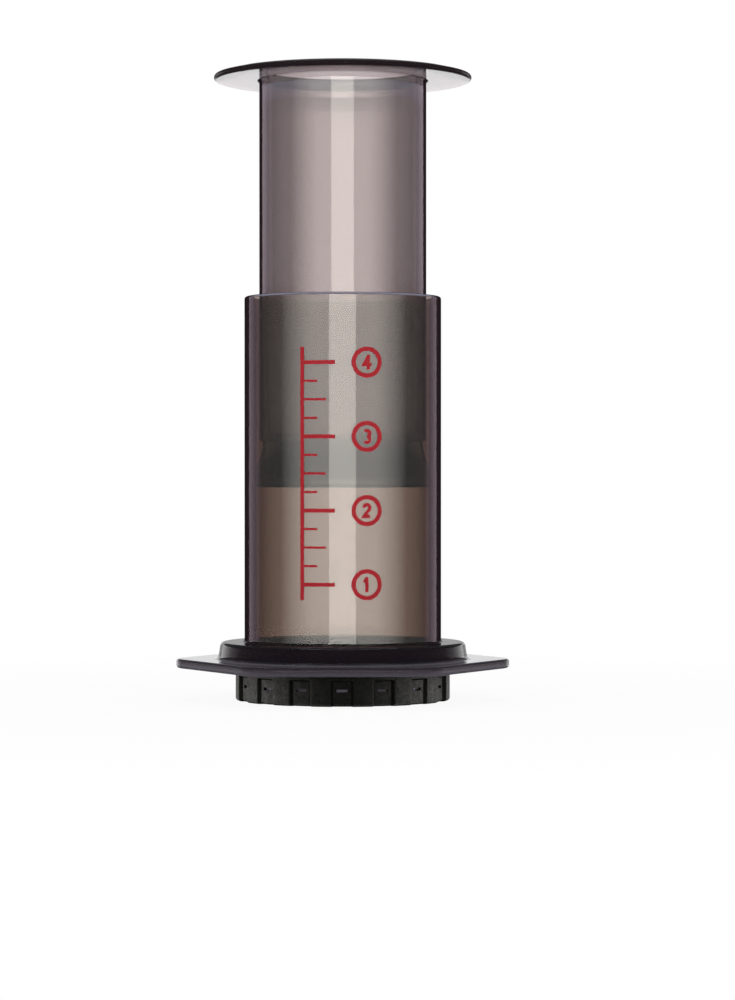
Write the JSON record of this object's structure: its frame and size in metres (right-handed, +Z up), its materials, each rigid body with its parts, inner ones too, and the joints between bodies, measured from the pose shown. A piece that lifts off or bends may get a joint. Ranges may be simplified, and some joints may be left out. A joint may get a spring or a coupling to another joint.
{
  "type": "piston coffee press",
  "caption": "Hand-worked piston coffee press: a clear smoky chamber with a hollow plunger and rubber seal, a six-sided mug flange and a twist-on perforated filter cap.",
  "frame": {"origin": "middle of the filter cap's underside, which the press stands on", "axes": "+Z up along the press axis, towards the plunger's flange; the level marks face -Y, and two rounded corners of the mug flange lie on +X and -X"},
  "size_m": [0.111, 0.0996, 0.2097],
  "materials": {
    "chamber_plastic": "clear smoky moulded plastic, polished",
    "plunger_plastic": "clear smoky moulded plastic, polished",
    "print_red": "opaque printed ink",
    "seal_rubber": "soft satin rubber",
    "filter_paper": "matt unprinted paper",
    "cap_plastic": "fine-grained matt moulded plastic"
  },
  "bodies": {
    "chamber": {"chamber": "chamber_plastic", "level_marks": "print_red"},
    "plunger": {"plunger": "plunger_plastic", "plunger_seal": "seal_rubber"},
    "paper_filter": {"paper_filter": "filter_paper"},
    "filter_cap": {"filter_cap": "cap_plastic"}
  },
  "joints": [
    {"name": "plunger_slide", "type": "slide", "parent": "chamber", "child": "plunger", "axis": [0, 0, 1], "range_m": [-0.0677, 0.075]},
    {"name": "cap_drop", "type": "slide", "parent": "chamber", "child": "paper_filter", "axis": [0, 0, -1], "range_m": [0, 0.01]},
    {"name": "cap_twist", "type": "hinge", "parent": "paper_filter", "child": "filter_cap", "pos_m": [0, 0, 0], "axis": [0, 0, -1], "range_deg": [0, 100]}
  ],
  "couplings": [
    {"joint": "cap_drop", "follows": "cap_twist", "m_per_rad": 0.0057296}
  ]
}
